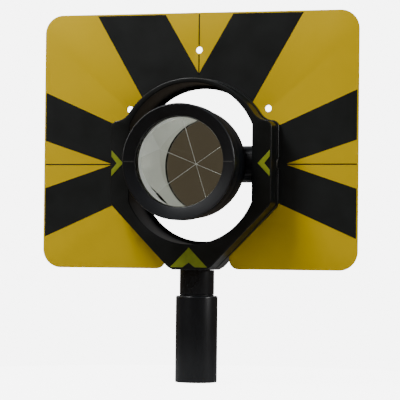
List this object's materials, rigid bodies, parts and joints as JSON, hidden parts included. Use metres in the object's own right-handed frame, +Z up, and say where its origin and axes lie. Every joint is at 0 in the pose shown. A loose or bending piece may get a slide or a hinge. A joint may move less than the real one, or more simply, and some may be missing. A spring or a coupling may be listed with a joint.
{
  "type": "survey prism",
  "caption": "Survey reflector prism in a tilting canister, held in a frame with a rectangular sighting target on a swivelling pole adapter.",
  "frame": {"origin": "centre of the pole adapter's lower end, on the pole's axis", "axes": "+Z up along the pole, -Y the way the prism looks, +X to the right seen from the front; the tilt axis runs along X at z 0.160"},
  "size_m": [0.241, 0.0756, 0.272],
  "materials": {
    "black_moulding": "satin",
    "target_enamel": "satin",
    "mark_paint": "matte",
    "index_paint": "matte",
    "black_anodised": "satin",
    "screw_steel": "satin",
    "brass_insert": "satin",
    "black_rubber": "matte",
    "white_acetal": "satin",
    "black_acetal": "satin",
    "prism_glass": "polished"
  },
  "bodies": {
    "sleeve": {"pole_sleeve": "black_anodised", "thread_insert": "brass_insert", "swivel_bush_upper": "white_acetal", "swivel_bush_lower": "white_acetal", "thrust_washer": "black_acetal"},
    "holder": {"neck_spindle": "black_anodised", "spindle_washer": "screw_steel", "spindle_screw": "screw_steel", "front_frame": "black_moulding", "rear_frame": "black_moulding", "target_plate": "target_enamel", "chevron_left": "mark_paint", "chevron_right": "mark_paint", "chevron_bottom": "mark_paint", "frame_screw_1": "screw_steel", "frame_screw_2": "screw_steel", "frame_screw_3": "screw_steel", "frame_screw_4": "screw_steel", "frame_screw_5": "screw_steel", "frame_screw_6": "screw_steel", "pivot_screw_left": "screw_steel", "pivot_screw_right": "screw_steel", "pivot_bush_left": "white_acetal", "pivot_bush_right": "white_acetal"},
    "canister": {"canister_housing": "black_anodised", "front_bezel": "black_anodised", "index_mark_left": "index_paint", "index_mark_right": "index_paint", "prism_glass": "prism_glass", "prism_cushion": "black_rubber", "prism_seat": "black_anodised", "front_seal": "black_rubber", "rear_cap": "black_anodised", "cap_screw_1": "screw_steel", "cap_screw_2": "screw_steel", "cap_screw_3": "screw_steel", "tilt_washer_left": "black_acetal", "tilt_washer_right": "black_acetal"}
  },
  "joints": [
    {"name": "pole_swivel", "type": "hinge", "parent": "sleeve", "child": "holder", "pos_m": [0, 0, 0.06], "axis": [0, 0, 1], "continuous": true},
    {"name": "prism_tilt", "type": "hinge", "parent": "holder", "child": "canister", "pos_m": [0, 0, 0.16], "axis": [1, 0, 0], "range_deg": [-25, 25]}
  ]
}
